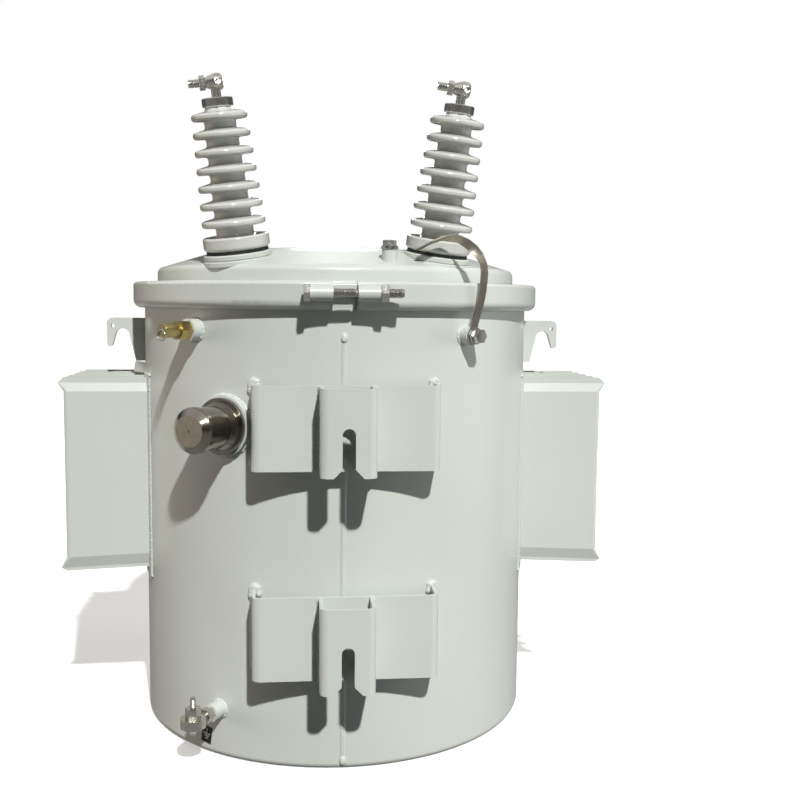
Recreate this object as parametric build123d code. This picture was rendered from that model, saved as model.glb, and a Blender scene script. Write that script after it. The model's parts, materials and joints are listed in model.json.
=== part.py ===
from build123d import *
import math
import os

os.makedirs("parts", exist_ok=True)

# Frame: millimetres, +Z up. The pole side faces -Y and the origin is on the floor under the tank axis.
# A turn is an angle in degrees round the tank axis, from the pole side towards the left (-X).

# Tank
TANK_R = 304.0
TANK_H = 671.5
WALL = 3.0
BASE_H = 16.0
BASE_ROUND = 9.0
SWELL = 4.0
SWELL_TOP = TANK_H - 16.5
SWELL_LOW = TANK_H - 30.5
SWELL_ROUND = 40.0

# Cover: a nearly flat crown, a sloping side, a raised ring and a turned-down lip
COVER_T = 3.0
COVER_RISE = 62.3
DOME_Z = TANK_H + COVER_RISE
RING_R = 0.934 * TANK_R
CROWN_R = 0.317 * RING_R
KNEE_R = 0.681 * RING_R
CROWN_SLOPE = 0.067
SIDE_SLOPE = 0.31
CROWN_ROUND = 2600.0
KNEE_ROUND = 150.0
SHOULDER_ROUND = 10.0
LIP_CLEAR = 5.0
LIP_R = TANK_R + SWELL + LIP_CLEAR + COVER_T
LIP_DROP = 18.0
LIP_ROUND = 3.0

# Clamp band, with its gap, rolled lugs and bolt over the pole side
BAND_T = 3.0
BAND_CLEAR = 5.0
BAND_R = LIP_R + BAND_CLEAR
FLANGE_Z = TANK_H + COVER_T
BAND_TOP = FLANGE_Z + BAND_T
BAND_H = 39.0
BAND_LOW = BAND_TOP - BAND_H
BAND_LIP = 15.0
BAND_GRIP = 21.0
BAND_ROUND = 5.0
BAND_MID_X = -2.6
BAND_GAP = 33.0
LUG_LEN = 29.8
LUG_R = 10.5
LUG_STAND = 11.0
ROD_R = 5.0
ROD_DROP = 16.5
BOLT_HEAD = 8.0
NUT_H = 10.0
ROD_TAIL = 21.0
BOLT_ACROSS = 19.0
FIT = 0.2

# Pole brackets: a wide bent plate on the tank and a U channel with an open slot on each
SLOT_PITCH = 285.75
SLOT_Z = 480.4
SLOT_W = 17.0
SLOT_FLARE = 11.5
BRACKET_T = 5.0
BRACKET_UP = 59.2
BRACKET_DOWN = 55.7
PLATE_HALF = 126.7
PLATE_STAND = 27.6
PLATE_BEND = 12.0
CHANNEL_HALF = 36.8
CHANNEL_STAND = 58.1
CHANNEL_BEND = 11.0
NOTCH_HALF = 14.0
TAB_REACH = 1.5
TAB_DROP = 35.0
TAB_ROUND = 7.0

# Lifting hooks, measured outward from the wall
HOOK_T = 8.0
HOOK_TOP = 621.5
HOOK_REACH = 62.2
HOOK_LEG = 17.5
HOOK_LEG_DROP = 68.5
HOOK_THROAT_DROP = 17.0
HOOK_THROAT_IN = 29.4
HOOK_THROAT_OUT = 46.2
HOOK_TIP_IN = 54.4
HOOK_TIP_DROP = 45.5
HOOK_THROAT_ROUND = 9.8
HOOK_TIP_ROUND = 3.0
HOOK_CORNER = 9.0
HOOK_HOLE_R = 3.2
HOOK_HOLE_IN = 9.1
HOOK_HOLE_DROP = 12.8

# Small bent tab on the left wall, between the hook and the radiator
TAB_T = 3.0
TAB_TURN_NEAR = 80.5
TAB_TURN_FAR = 86.4
TAB_Z = 536.5
TAB_H = 17.0
TAB_STAND = 17.0
TAB_SPLAY = 6.0

# Radiators: five pinched sheet fins on a curved base sheet, on each side
FIN_COUNT = 5
FIN_PITCH = 42.0
FIN_T = 14.0
FIN_PINCH_T = 4.0
FIN_REACH = 114.0
FIN_LIP = 9.0
FIN_TOP = 533.0
FIN_LOW = 232.5
FIN_RISE = 5.0
TOP_LIP = 9.0
TOP_PINCH = 22.0
LOW_LIP = 5.0
LOW_PINCH = 22.0
PAN_T = 2.5
PAN_ABOVE = 3.0
PAN_BELOW = 6.5
PAN_SIDE = 9.0

# High voltage bushings, each on a stepped seat, leaning outward and forward
HV_MID_X = -6.2
HV_SPREAD = 0.4707 * TANK_R
HV_Y = -0.625 * TANK_R
HV_LEAN = 0.125
HV_FORWARD = 0.14
SEAT_DROP = 14.6
SEAT_Z = DOME_Z - SEAT_DROP
SEAT_R = 48.8
SEAT_STEP = 8.0
SEAT_SWELL = 1.2
SEAT_CREASE = 3.5
SEAT_FOOT_R = 60.0
SEAT_DEEP = 34.0
SEAT_BEVEL = 1.5
SMALL_ROUND = 2.5
GASKET_R = 43.8
GASKET_T = 4.2
COLLAR_R = 46.8
COLLAR_H = 19.4
COLLAR_ROUND = 6.0
SHED_COUNT = 7
SHED_FIRST = 41.8
SHED_PITCH = 24.13
SHED_R = 44.9
SHED_TAPER = 1.05
CORE_R = 26.4
CORE_TAPER = 0.75
SHED_HALF = 4.5
SHED_RISE = 4.0
SHED_ROUND = 4.1
NECK_R = 17.5
NECK_FLARE = 2.0
NECK_H = 13.0
CAP_ACROSS = 39.5
CAP_H = 12.4
CAP_BEVEL = 1.2
STEM_R = 6.6
STEM_H = 9.2
EYE_R = 11.6
EYE_HOLE_R = 4.0
EYE_HOLE_IN = 6.0
NOSE_R = 7.0
NOSE_LEN = 13.0
EYE_BACK = 11.4
TERMINAL_NUT = 17.5
TERMINAL_NUT_H = 8.0
STUD_R = 5.2
STUD_LEN = 15.0

# Boss and bolt on the cover
BOSS_TURN = -14.3
BOSS_IN = 50.0
BOSS_R = 10.6
BOSS_TOP_DROP = 10.2
WASHER_R = 12.5
WASHER_T = 2.2
COVER_BOLT_H = 7.5

# Ground strap from a wall boss up over the band to the right seat
STRAP_W = 13.0
STRAP_T = 1.6
STRAP_TURN = -33.9
STRAP_Z = 604.0
STRAP_BOSS_R = 13.0
STRAP_BOSS_H = 16.0
STRAP_STATIONS = 18
STRAP_TILT = 0.4
TWIST_FROM = 0.5
TWIST_TO = 0.78
# Where the strap's middle line goes: turn, distance from the wall and height above its boss
STRAP_ROUTE = (
    (-33.9, 16.8, -9.0),
    (-34.1, 17.0, 12.0),
    (-35.0, 24.0, 46.5),
    (-35.5, 27.0, 78.0),
    (-35.9, 24.5, 97.0),
    (-35.7, 18.4, 109.6),
    (-33.4, 9.7, 125.4),
    (-31.0, -0.6, 134.3),
    (-28.7, -12.1, 135.4),
    (-25.8, -25.2, 129.2),
    (-23.0, -41.0, 119.5),
)

# Relief valve
RELIEF_TURN = 43.0
RELIEF_Z = 608.5
RELIEF_BOSS_R = 16.0
RELIEF_BOSS_H = 15.0
RELIEF_HEX = 25.0
RELIEF_HEX_H = 18.0
RELIEF_R = 9.8
RELIEF_LEN = 26.0
PULL_R = 7.5
PULL_WIRE = 1.2

# Tap changer housing
TAP_TURN = 32.7
TAP_Z = 478.0
TAP_BOSS_R = 42.4
TAP_BOSS_H = 8.0
TAP_RING_R = 39.4
TAP_RING_H = 6.0
TAP_COLLAR_R = 34.5
TAP_COLLAR_H = 5.0
TAP_BODY_R = 29.5
TAP_BODY_LEN = 43.0
TAP_CAP_R = 31.3
TAP_CAP_H = 18.0
TAP_FACE_R = 21.5
TAP_NOSE = 8.0

# Tank ground connector
GROUND_TURN = 35.3
GROUND_Z = 71.0
GROUND_BOSS_R = 12.5
GROUND_BOSS_H = 21.0
GROUND_HEX = 19.0
GROUND_HEX_H = 13.0
GROUND_SHANK_R = 6.0
GROUND_AT = 56.0
GROUND_DRUM_R = 17.5
GROUND_DRUM_H = 13.0
GROUND_NUT_H = 14.0
GROUND_STUD_R = 3.5
GROUND_STUD_H = 15.0

# Low voltage bushings on the far side
LV_TURNS = (150.0, 180.0, 210.0)
LV_Z = 565.0
LV_BASE_R = 36.0
LV_STEP_R = 32.0
LV_NECK_R = 23.0
LV_BASE_H = 14.0
LV_STEP_H = 9.0
LV_NECK_H = 13.0
LV_STEPS = 2
LV_STEM_R = 9.0
LV_STEM_H = 12.0
SPADE_T = 8.0
SPADE_W = 40.0
SPADE_L = 52.0
SPADE_HOLE_R = 7.0

ROOT = 30.0
REACH = 3 * TANK_R


def save(shape, node):
    export_step(shape, "parts/" + node + ".step")


def polar(turn, radius, z=0.0):
    a = math.radians(turn)
    return Vector(-radius * math.sin(a), -radius * math.cos(a), z)


def wall_plane(turn, z, stand=0.0):
    """A plane on the tank wall whose Z points straight out, Y up and X along the wall."""
    out = polar(turn, 1.0)
    return Plane(origin=polar(turn, TANK_R + stand, z), x_dir=Vector(-out.Y, out.X, 0), z_dir=out)


def upright(radius, low, high):
    return Pos(0, 0, low) * Cylinder(radius, high - low, align=(Align.CENTER, Align.CENTER, Align.MIN))


def tank_space():
    return upright(TANK_R, -REACH, REACH)


def rod(plane, radius, start, end):
    return plane * upright(radius, start, end)


def prism(plane, across, sides, start, end):
    """A nut or head of that width across its flats."""
    flat = plane * Pos(0, 0, start) * RegularPolygon(across / 2 / math.cos(math.pi / sides), sides)
    return extrude(flat, end - start, dir=plane.z_dir)


def outline(*corners):
    """A closed face in the XZ plane. Each corner is (x, z) or (x, z, rounding)."""
    points = [(c[0], 0, c[1]) for c in corners]
    rounds = [c[2] if len(c) > 2 else 0 for c in corners]
    return make_face(FilletPolyline(*points, radius=rounds, close=True))


def turned(*corners):
    return revolve(outline(*corners), axis=Axis.Z)


def sheet(thickness, *corners):
    return extrude(outline(*corners), thickness / 2, both=True)


# Tank

def tank_shell():
    wide = TANK_R + SWELL
    return turned((TANK_R - WALL, BASE_H), (TANK_R, BASE_H), (TANK_R, SWELL_LOW, SWELL_ROUND), (wide, SWELL_TOP),
                  (wide, TANK_H), (wide - WALL, TANK_H), (wide - WALL, SWELL_TOP), (TANK_R - WALL, SWELL_LOW))


def tank_base():
    inner = TANK_R - WALL
    return turned((0, 0), (TANK_R, 0, BASE_ROUND), (TANK_R, BASE_H), (inner, BASE_H),
                  (inner, WALL, BASE_ROUND - WALL), (0, WALL))


# Cover

def dome_corners(radius, lower):
    """The cover's section from the axis to radius, its surface lowered by lower."""
    top = DOME_Z - lower
    knee = top - CROWN_SLOPE * (KNEE_R - CROWN_R)
    edge = knee - SIDE_SLOPE * (radius - KNEE_R)
    return [(0, top), (CROWN_R, top, CROWN_ROUND), (KNEE_R, knee, KNEE_ROUND),
            (radius, edge, SHOULDER_ROUND - lower)]


def cover():
    out, t = LIP_R, COVER_T
    skin = dome_corners(RING_R, 0)
    inside = dome_corners(RING_R - t, t)
    inside.reverse()
    flange = [(RING_R, FLANGE_Z, t), (out, FLANGE_Z, LIP_ROUND), (out, FLANGE_Z - LIP_DROP),
              (out - t, FLANGE_Z - LIP_DROP), (out - t, FLANGE_Z - t), (RING_R - t, FLANGE_Z - t)]
    return turned(*skin, *flange, *inside)


def cover_space():
    """All that lies under the cover's outer surface."""
    return turned(*dome_corners(RING_R, 0), (RING_R, SWELL_LOW), (0, SWELL_LOW))


# Clamp band

def clamp_band():
    r, t = BAND_R, BAND_T
    ring = turned((r - BAND_GRIP, BAND_TOP), (r, BAND_TOP, BAND_ROUND), (r, BAND_LOW, BAND_LIP - t),
                  (r - BAND_LIP, BAND_LOW), (r - BAND_LIP, BAND_LOW + t),
                  (r - t, BAND_LOW + t, BAND_LIP - 2 * t), (r - t, BAND_TOP - t, BAND_ROUND - t),
                  (r - BAND_GRIP, BAND_TOP - t))
    return ring - Pos(BAND_MID_X, -r, BAND_TOP) * Box(BAND_GAP, r / 2, r / 2)


ROD_Z = BAND_TOP - ROD_DROP
ROD_Y = -BAND_R - LUG_STAND
ROD_AXIS = Plane(origin=(BAND_MID_X, ROD_Y, ROD_Z), x_dir=(0, 0, 1), z_dir=(1, 0, 0))
LUG_NEAR = BAND_GAP / 2
LUG_FAR = BAND_GAP / 2 + LUG_LEN


def band_lug(side):
    """A sheet rolled round the bolt and laid back on the band."""
    near, far = sorted((side * LUG_NEAR, side * LUG_FAR))
    roll = rod(ROD_AXIS, LUG_R, near, far)
    tail = Pos(BAND_MID_X + (near + far) / 2, ROD_Y + LUG_STAND, ROD_Z) * Box(LUG_LEN, 2 * LUG_STAND, 2 * LUG_R)
    return roll + tail - rod(ROD_AXIS, ROD_R + FIT, near - 1, far + 1) - upright(BAND_R, BAND_LOW, BAND_TOP)


def band_bolt():
    head = prism(ROD_AXIS, BOLT_ACROSS, 6, -LUG_FAR - BOLT_HEAD, -LUG_FAR)
    return head + rod(ROD_AXIS, ROD_R, -LUG_FAR - FIT, LUG_FAR + NUT_H + ROD_TAIL)


def band_nut():
    nut = prism(ROD_AXIS, BOLT_ACROSS, 6, LUG_FAR, LUG_FAR + NUT_H)
    return nut - rod(ROD_AXIS, ROD_R, 0, LUG_FAR + NUT_H + ROD_TAIL)


# Pole brackets

PLATE_Y = -TANK_R - PLATE_STAND
CHANNEL_Y = PLATE_Y - CHANNEL_STAND


def slot_space(z, y, depth, half, flare):
    """An open slot up from the lower edge, round at the top and flared at its mouth."""
    low = z - BRACKET_DOWN - FIT
    mouth = z - BRACKET_DOWN + flare
    opening = Pos(0, y, 0) * sheet(depth, (-half, low), (-half, z + half, half - FIT), (half, z + half, half - FIT),
                                   (half, low))
    if not flare:
        return opening
    return opening + Pos(0, y, 0) * sheet(depth, (-half - flare, low), (-half, mouth), (half, mouth),
                                          (half + flare, low))


def bent_sheet(half, front, back, z, bend):
    """A sheet bent back at both sides, seen from above as a U."""
    t = BRACKET_T
    points = [(-half, back), (-half, front), (half, front), (half, back),
              (half - t, back), (half - t, front + t), (t - half, front + t), (t - half, back)]
    rounds = [0, bend, bend, 0, 0, bend - t, bend - t, 0]
    section = make_face(FilletPolyline(*[(x, y, z - BRACKET_DOWN) for x, y in points], radius=rounds, close=True))
    return extrude(section, BRACKET_UP + BRACKET_DOWN, dir=(0, 0, 1))


def bracket_plate(z):
    body = bent_sheet(PLATE_HALF, PLATE_Y, -TANK_R / 2, z, PLATE_BEND)
    low = z - BRACKET_DOWN - FIT
    keep = Pos(0, PLATE_Y, 0) * sheet(4 * BRACKET_T, (-NOTCH_HALF - 1, low - 1), (TAB_REACH, low - 1),
                                      (TAB_REACH, z - TAB_DROP, TAB_ROUND), (-NOTCH_HALF - 1, z - TAB_DROP))
    notch = slot_space(z, PLATE_Y, 4 * BRACKET_T, NOTCH_HALF, 0) - keep
    return body - tank_space() - notch


def bracket_channel(z):
    body = bent_sheet(CHANNEL_HALF, CHANNEL_Y, PLATE_Y, z, CHANNEL_BEND)
    return body - slot_space(z, CHANNEL_Y, 4 * BRACKET_T, SLOT_W / 2, SLOT_FLARE)


# Lifting hooks

def lifting_hook(side):
    wall, top = TANK_R, HOOK_TOP
    plate = sheet(HOOK_T, (wall - ROOT, top - HOOK_LEG_DROP), (wall + HOOK_LEG, top - HOOK_LEG_DROP),
                  (wall + HOOK_THROAT_IN, top - HOOK_THROAT_DROP, HOOK_THROAT_ROUND),
                  (wall + HOOK_THROAT_OUT, top - HOOK_THROAT_DROP, HOOK_THROAT_ROUND),
                  (wall + HOOK_TIP_IN, top - HOOK_TIP_DROP, HOOK_TIP_ROUND),
                  (wall + HOOK_REACH, top - HOOK_TIP_DROP, HOOK_TIP_ROUND),
                  (wall + HOOK_REACH, top, HOOK_CORNER), (wall - ROOT, top))
    eye = Pos(wall + HOOK_REACH - HOOK_HOLE_IN, 0, top - HOOK_HOLE_DROP) * Rot(90, 0, 0) * Cylinder(HOOK_HOLE_R, ROOT)
    body = plate - eye - tank_space()
    return body if side > 0 else mirror(body, Plane.YZ)


def side_tab():
    """A flat plate with its near edge on the wall, standing away from it behind and splayed at its foot."""
    near = polar(TAB_TURN_NEAR, TANK_R, TAB_Z)
    far = polar(TAB_TURN_FAR, TANK_R + TAB_STAND, TAB_Z)
    inward = (near - far).normalized()
    away = Vector(inward.Y, -inward.X, 0) if inward.X < 0 else Vector(-inward.Y, inward.X, 0)
    plane = Plane(origin=far, x_dir=inward, z_dir=-away if away.X > 0 else away)
    wide = (near - far).length + ROOT
    up = plane.y_dir.Z
    face = plane * make_face(Polyline((-TAB_SPLAY, 0), (wide, 0), (wide, up * TAB_H), (0, up * TAB_H), close=True))
    return extrude(face, -TAB_T, dir=plane.z_dir) - tank_space()


# Radiators

def fin_ring(half, out, z):
    """A level or slightly rising slice of one fin: its foot in the wall, its outer edge round."""
    rise = FIN_RISE / FIN_REACH if z < FIN_TOP / 2 + FIN_LOW / 2 else 0
    plane = Plane(origin=(TANK_R + FIN_REACH, 0, z), x_dir=(1, 0, -rise), z_dir=(rise, 0, 1))
    near = -ROOT - FIN_REACH
    far = out - FIN_REACH
    side = [Line((near, -half), (far - half, -half)), ThreePointArc((far - half, -half), (far, 0), (far - half, half)),
            Line((far - half, half), (near, half)), Line((near, half), (near, -half))]
    return plane * make_face(side)


def fin():
    thick, thin = FIN_T / 2, FIN_PINCH_T / 2
    out, lip = FIN_REACH, FIN_REACH + FIN_LIP
    slices = [fin_ring(thin, out, FIN_LOW), fin_ring(thin, lip, FIN_LOW + LOW_LIP),
              fin_ring(thick, out, FIN_LOW + LOW_PINCH), fin_ring(thick, out, FIN_TOP - TOP_PINCH),
              fin_ring(thin, lip, FIN_TOP - TOP_LIP), fin_ring(thin, out, FIN_TOP)]
    return loft(slices, ruled=True)


def radiator(side):
    half_row = (FIN_COUNT - 1) / 2 * FIN_PITCH
    wide = 2 * (half_row + FIN_T / 2 + PAN_SIDE)
    pan = upright(TANK_R + PAN_T, FIN_LOW - PAN_BELOW, FIN_TOP + PAN_ABOVE)
    body = pan & (Pos(TANK_R, 0, FIN_TOP / 2) * Box(TANK_R, wide, 2 * FIN_TOP))
    one = fin()
    for i in range(FIN_COUNT):
        body = body + Pos(0, i * FIN_PITCH - half_row, 0) * one
    body = body - tank_space()
    return body if side > 0 else mirror(body, Plane.YZ)


# High voltage bushings

def hv_plane(side):
    up = Vector(side * HV_LEAN, -HV_FORWARD, 1).normalized()
    return Plane(origin=(HV_MID_X + side * HV_SPREAD, HV_Y, SEAT_Z), x_dir=Vector(1, 0, -side * HV_LEAN), z_dir=up)


def disc_corners(radius, top):
    """The outer side of a seat's step, with its edges bevelled, down from its top."""
    low = top - SEAT_STEP
    return [(radius - SEAT_BEVEL, top), (radius, top - SEAT_BEVEL), (radius, low + SEAT_BEVEL),
            (radius - SEAT_BEVEL, low)]


def hv_seat(side):
    """Two bevelled steps on a conical foot, sunk into the sloping cover."""
    crease = SEAT_R - SEAT_CREASE
    discs = turned((0, 0), *disc_corners(SEAT_R, 0), (crease, -SEAT_STEP),
                   *disc_corners(SEAT_R + SEAT_SWELL, -SEAT_STEP), (0, -2 * SEAT_STEP))
    middle = -1.5 * SEAT_STEP
    foot = turned((0, middle), (crease, middle), (SEAT_FOOT_R, -SEAT_DEEP), (0, -SEAT_DEEP))
    inside = hv_plane(side) * foot & upright(RING_R - SHOULDER_ROUND, SWELL_TOP, DOME_Z)
    return hv_plane(side) * discs + inside - cover_space()


def hv_gasket(side):
    return rod(hv_plane(side), GASKET_R, 0, GASKET_T)


NECK_Z = SHED_FIRST + (SHED_COUNT - 1) * SHED_PITCH
CAP_Z = NECK_Z + NECK_H


def hv_bushing(side):
    """Stacked round-edged sheds on a tapering core, over a plain collar."""
    top = GASKET_T + COLLAR_H
    corners = [(0, GASKET_T), (COLLAR_R, GASKET_T, COLLAR_ROUND), (COLLAR_R, top, COLLAR_ROUND / 2)]
    for k in range(SHED_COUNT):
        z = SHED_FIRST + k * SHED_PITCH
        rim = SHED_R - k * SHED_TAPER
        core = CORE_R - k * CORE_TAPER
        foot = top if k == 0 else z - SHED_PITCH + SHED_HALF + SHED_RISE
        corners += [(core, foot, SHED_ROUND), (core, z - SHED_HALF, SHED_ROUND), (rim, z - SHED_HALF, SHED_ROUND),
                    (rim, z + SHED_HALF, SHED_ROUND)]
    corners += [(NECK_R + NECK_FLARE, NECK_Z + SHED_HALF + SHED_RISE, SHED_ROUND / 2), (NECK_R, CAP_Z), (0, CAP_Z)]
    return hv_plane(side) * turned(*corners)


def hv_cap(side):
    """An eight-sided nut with bevelled edges, and the stem that stands in it."""
    p = hv_plane(side)
    top = CAP_Z + CAP_H
    cap = prism(p, CAP_ACROSS, 8, CAP_Z, top)
    level = [e for e in cap.edges() if abs(e.tangent_at(0.5).dot(p.z_dir)) < 0.5]
    return chamfer(level, CAP_BEVEL) + rod(p, STEM_R, top - FIT, top + STEM_H)


def hv_terminal(side):
    """An eye clamp lying across the stem: a drum that tapers to a nose, with its nut and stud to the left."""
    p = hv_plane(side)
    middle = p.from_local_coords(Vector(0, 0, CAP_Z + CAP_H + STEM_H + EYE_R))
    across = Plane(origin=middle, x_dir=p.z_dir, z_dir=p.x_dir * -1)
    body = across * turned((0, -EYE_BACK), (EYE_R, -EYE_BACK, EYE_R / 2), (EYE_R, 0, EYE_R / 2), (NOSE_R, NOSE_LEN),
                           (0, NOSE_LEN))
    foot = rod(p, STEM_R, CAP_Z + CAP_H + STEM_H, CAP_Z + CAP_H + STEM_H + EYE_R)
    hole = Plane(origin=across.from_local_coords(Vector(0, 0, EYE_HOLE_IN - EYE_BACK)), z_dir=p.y_dir)
    nut_end = NOSE_LEN + TERMINAL_NUT_H
    body = body + foot - rod(hole, EYE_HOLE_R, -ROOT, ROOT)
    return body + prism(across, TERMINAL_NUT, 6, NOSE_LEN, nut_end) + rod(across, STUD_R, NOSE_LEN, nut_end + STUD_LEN)


# Boss and bolt on the cover

BOSS_AT = polar(BOSS_TURN, TANK_R - BOSS_IN, DOME_Z - BOSS_TOP_DROP)


def cover_boss():
    return rod(Plane(origin=BOSS_AT), BOSS_R, -ROOT, 0) - cover_space()


def cover_bolt():
    p = Plane(origin=BOSS_AT)
    flat = rod(p, WASHER_R, 0, WASHER_T)
    spring = rod(p, WASHER_R - WASHER_T / 2, WASHER_T, 2 * WASHER_T)
    return flat + spring + prism(p, BOLT_ACROSS - WASHER_T, 6, 2 * WASHER_T, 2 * WASHER_T + COVER_BOLT_H)


# Ground strap

def strap_boss():
    return rod(wall_plane(STRAP_TURN, STRAP_Z), STRAP_BOSS_R, -ROOT, STRAP_BOSS_H) - tank_space()


def strap_bolt():
    p = wall_plane(STRAP_TURN, STRAP_Z)
    start = STRAP_BOSS_H + STRAP_T
    washer = rod(p, WASHER_R, start, start + WASHER_T)
    return washer + prism(p, BOLT_ACROSS - WASHER_T, 6, start + WASHER_T, start + WASHER_T + COVER_BOLT_H)


def ground_strap():
    """A flat strap that rises over the band, then twists and runs along the foot of the right bushing."""
    points = [polar(turn, TANK_R + stand, STRAP_Z + up) for turn, stand, up in STRAP_ROUTE]
    path = Spline(*points, tangents=[(0, 0, 1), points[-1] - points[-2]])
    out = polar(STRAP_TURN, 1.0)
    flat = Vector(-out.Y, out.X, 0)
    twisted = out + Vector(0, 0, STRAP_TILT)
    slices = []
    for i in range(STRAP_STATIONS + 1):
        part = i / STRAP_STATIONS
        at = path.position_at(part * path.length, PositionMode.LENGTH)
        ahead = path.tangent_at(part * path.length, PositionMode.LENGTH)
        mix = min(max((part - TWIST_FROM) / (TWIST_TO - TWIST_FROM), 0), 1)
        width = flat * (1 - mix) + twisted * mix
        across = ahead.cross(width).cross(ahead).normalized()
        slices.append(Plane(origin=at, x_dir=across, z_dir=ahead) * Rectangle(STRAP_W, STRAP_T))
    strap = loft(slices, ruled=True)
    return strap - strap_boss() - strap_bolt() - hv_seat(1) - hv_gasket(1) - hv_bushing(1)


# Relief valve

def relief_boss():
    return rod(wall_plane(RELIEF_TURN, RELIEF_Z), RELIEF_BOSS_R, -ROOT, RELIEF_BOSS_H) - tank_space()


def relief_valve():
    p = wall_plane(RELIEF_TURN, RELIEF_Z, RELIEF_BOSS_H)
    barrel = p * turned((0, RELIEF_HEX_H), (RELIEF_R, RELIEF_HEX_H), (RELIEF_R, RELIEF_HEX_H + RELIEF_LEN, 1),
                        (0, RELIEF_HEX_H + RELIEF_LEN))
    return prism(p, RELIEF_HEX, 6, 0, RELIEF_HEX_H) + barrel


def relief_ring():
    """A pull ring that hangs on the valve's end."""
    p = wall_plane(RELIEF_TURN, RELIEF_Z, RELIEF_BOSS_H + RELIEF_HEX_H + RELIEF_LEN)
    return p * Pos(0, -PULL_R + PULL_WIRE, PULL_WIRE) * Torus(PULL_R, PULL_WIRE)


# Tap changer housing

def tap_boss():
    return rod(wall_plane(TAP_TURN, TAP_Z), TAP_BOSS_R, -2 * ROOT, TAP_BOSS_H) - tank_space()


def tap_ring():
    high = TAP_RING_H + TAP_COLLAR_H
    ring = turned((0, 0), (TAP_RING_R, 0), (TAP_RING_R, TAP_RING_H, 1), (TAP_COLLAR_R, TAP_RING_H),
                  (TAP_COLLAR_R, high, 1), (0, high))
    return wall_plane(TAP_TURN, TAP_Z, TAP_BOSS_H) * ring


def tap_cap():
    """A drum with a wider head whose edge runs in to a small flat face."""
    head = TAP_BODY_LEN + TAP_CAP_H
    flare = TAP_BODY_R + 2 * (TAP_CAP_R - TAP_BODY_R)
    cap = turned((0, 0), (flare, 0), (TAP_BODY_R, TAP_NOSE), (TAP_BODY_R, TAP_BODY_LEN),
                 (TAP_CAP_R, TAP_BODY_LEN, 1), (TAP_CAP_R, head - TAP_NOSE, SMALL_ROUND), (TAP_FACE_R, head, 2),
                 (0, head))
    return wall_plane(TAP_TURN, TAP_Z, TAP_BOSS_H + TAP_RING_H + TAP_COLLAR_H) * cap


# Tank ground connector

def ground_boss():
    return rod(wall_plane(GROUND_TURN, GROUND_Z), GROUND_BOSS_R, -ROOT, GROUND_BOSS_H) - tank_space()


def ground_clamp():
    """A hexagon and shank screwed into the boss, carrying an upright drum."""
    p = wall_plane(GROUND_TURN, GROUND_Z)
    hex_end = GROUND_BOSS_H + GROUND_HEX_H
    drum = Pos(*polar(GROUND_TURN, TANK_R + GROUND_AT, GROUND_Z)) * upright(GROUND_DRUM_R, -GROUND_DRUM_H / 2,
                                                                          GROUND_DRUM_H / 2)
    shank = rod(p, GROUND_SHANK_R, hex_end - FIT, GROUND_AT)
    return prism(p, GROUND_HEX, 6, GROUND_BOSS_H, hex_end) + shank + drum


def ground_nut():
    """The upright nut and stud on the drum."""
    p = Plane(origin=polar(GROUND_TURN, TANK_R + GROUND_AT, GROUND_Z + GROUND_DRUM_H / 2))
    return prism(p, GROUND_HEX, 6, 0, GROUND_NUT_H) + rod(p, GROUND_STUD_R, 0, GROUND_NUT_H + GROUND_STUD_H)


# Low voltage bushings

LV_END = LV_BASE_H + (LV_STEPS + 1) * LV_NECK_H + LV_STEPS * LV_STEP_H


def lv_bushing(turn):
    corners = [(0, -LV_BASE_H), (LV_BASE_R, -LV_BASE_H), (LV_BASE_R, LV_BASE_H, SMALL_ROUND)]
    z = LV_BASE_H
    for i in range(LV_STEPS):
        corners += [(LV_NECK_R, z, SMALL_ROUND), (LV_NECK_R, z + LV_NECK_H, SMALL_ROUND),
                    (LV_STEP_R, z + LV_NECK_H, SHED_ROUND), (LV_STEP_R, z + LV_NECK_H + LV_STEP_H, SHED_ROUND)]
        z += LV_NECK_H + LV_STEP_H
    corners += [(LV_NECK_R, z, SMALL_ROUND), (LV_NECK_R, z + LV_NECK_H, SMALL_ROUND), (0, z + LV_NECK_H)]
    return wall_plane(turn, LV_Z) * turned(*corners) - tank_space()


def lv_terminal(turn):
    """A flat spade with one hole, on a round stem."""
    p = wall_plane(turn, LV_Z, LV_END)
    middle = LV_STEM_H + SPADE_L / 2
    spade = p * Pos(0, 0, middle) * Box(SPADE_T, SPADE_W, SPADE_L)
    hole = p * Pos(0, 0, middle) * Rot(0, 90, 0) * Cylinder(SPADE_HOLE_R, 2 * SPADE_T)
    return rod(p, LV_STEM_R, 0, LV_STEM_H + FIT) + spade - hole


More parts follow.
